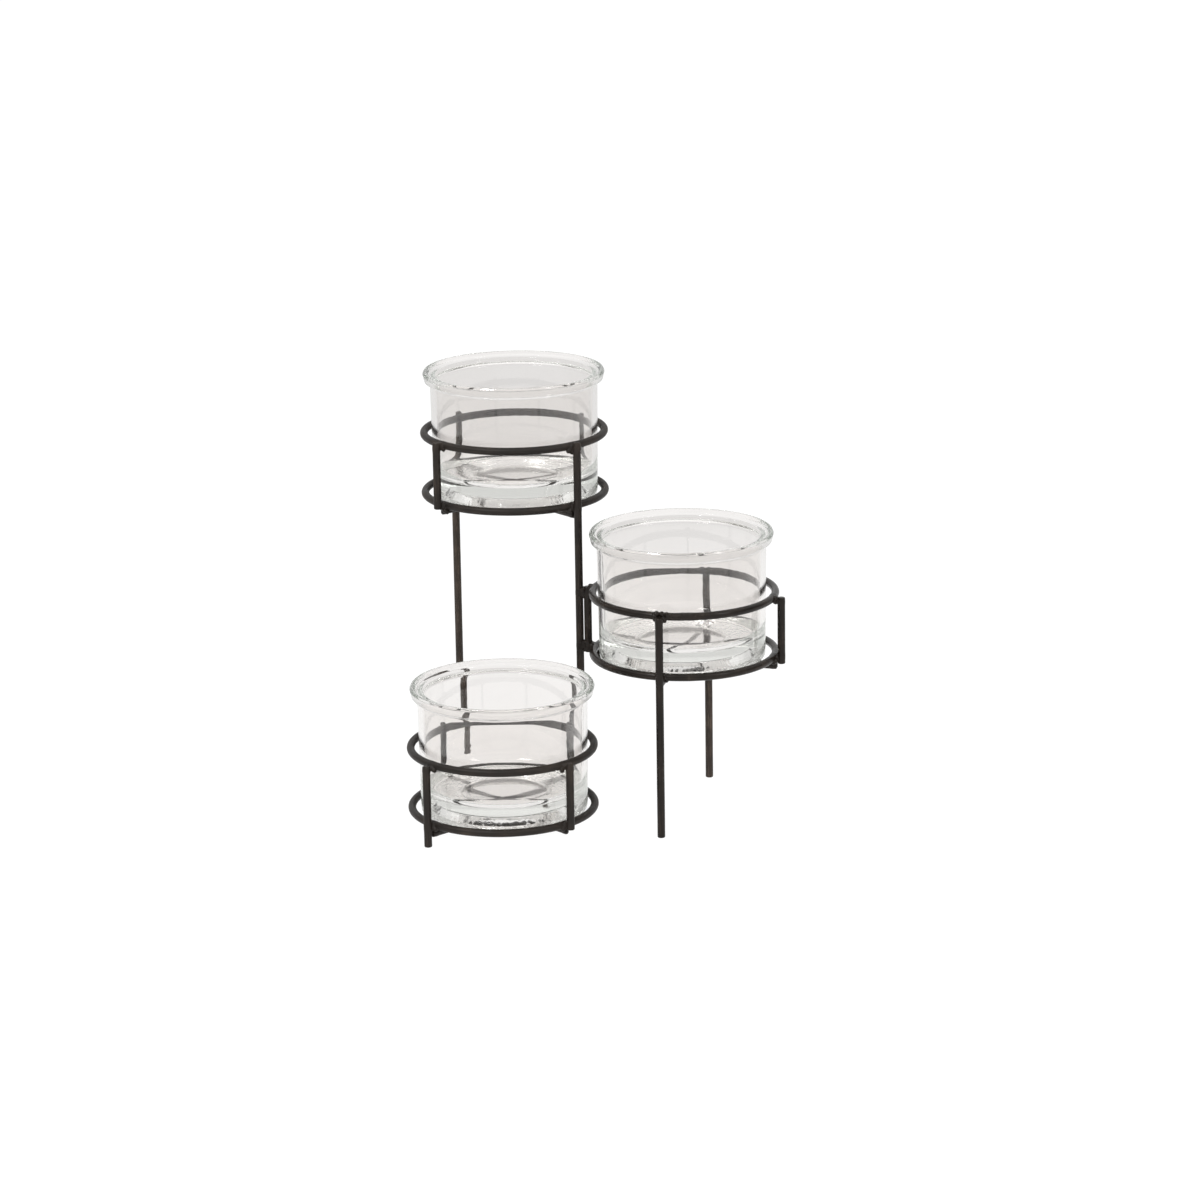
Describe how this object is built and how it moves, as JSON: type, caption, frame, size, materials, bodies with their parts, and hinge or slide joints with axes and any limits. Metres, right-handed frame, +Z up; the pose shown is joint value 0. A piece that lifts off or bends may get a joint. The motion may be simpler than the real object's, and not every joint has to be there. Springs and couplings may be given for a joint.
{
  "type": "votive candle rack",
  "caption": "Stepped black wire rack with clear glass votive cups standing in round two-hoop holders on thin rod legs.",
  "frame": {"origin": "under the middle of the rack's box, on the surface that the five feet stand on", "axes": "+Z up; -Y is the front, from which the low holder is at the left, the mid holder at the right and the high holder at the back left; +X to the right"},
  "size_m": [0.2304, 0.2076, 0.2635],
  "materials": {
    "black_paint": "satin warm black paint over round steel rod, darker and glossier over the weld beads",
    "clear_glass": "polished clear pressed glass with a stippled bearing ring under the base"
  },
  "bodies": {
    "frame": {"high_lower_hoop": "black_paint", "high_upper_hoop": "black_paint", "high_pole_leg": "black_paint", "high_right_post": "black_paint", "high_back_leg": "black_paint", "high_left_post": "black_paint", "high_cross_bar": "black_paint", "high_half_bar_a": "black_paint", "high_half_bar_b": "black_paint", "mid_lower_hoop": "black_paint", "mid_upper_hoop": "black_paint", "mid_pole_post": "black_paint", "mid_front_leg": "black_paint", "mid_right_post": "black_paint", "mid_back_leg": "black_paint", "mid_cross_bar": "black_paint", "mid_half_bar_a": "black_paint", "mid_half_bar_b": "black_paint", "low_lower_hoop": "black_paint", "low_upper_hoop": "black_paint", "low_pole_post": "black_paint", "low_left_post": "black_paint", "low_front_leg": "black_paint", "low_right_post": "black_paint", "low_cross_bar": "black_paint", "low_half_bar_a": "black_paint", "low_half_bar_b": "black_paint"},
    "high_cup": {"high_glass_cup": "clear_glass"},
    "mid_cup": {"mid_glass_cup": "clear_glass"},
    "low_cup": {"low_glass_cup": "clear_glass"}
  },
  "joints": [
    {"name": "high_cup_lift", "type": "slide", "parent": "frame", "child": "high_cup", "axis": [0, 0, 1], "range_m": [0, 0.06]},
    {"name": "mid_cup_lift", "type": "slide", "parent": "frame", "child": "mid_cup", "axis": [0, 0, 1], "range_m": [0, 0.06]},
    {"name": "low_cup_lift", "type": "slide", "parent": "frame", "child": "low_cup", "axis": [0, 0, 1], "range_m": [0, 0.06]}
  ]
}
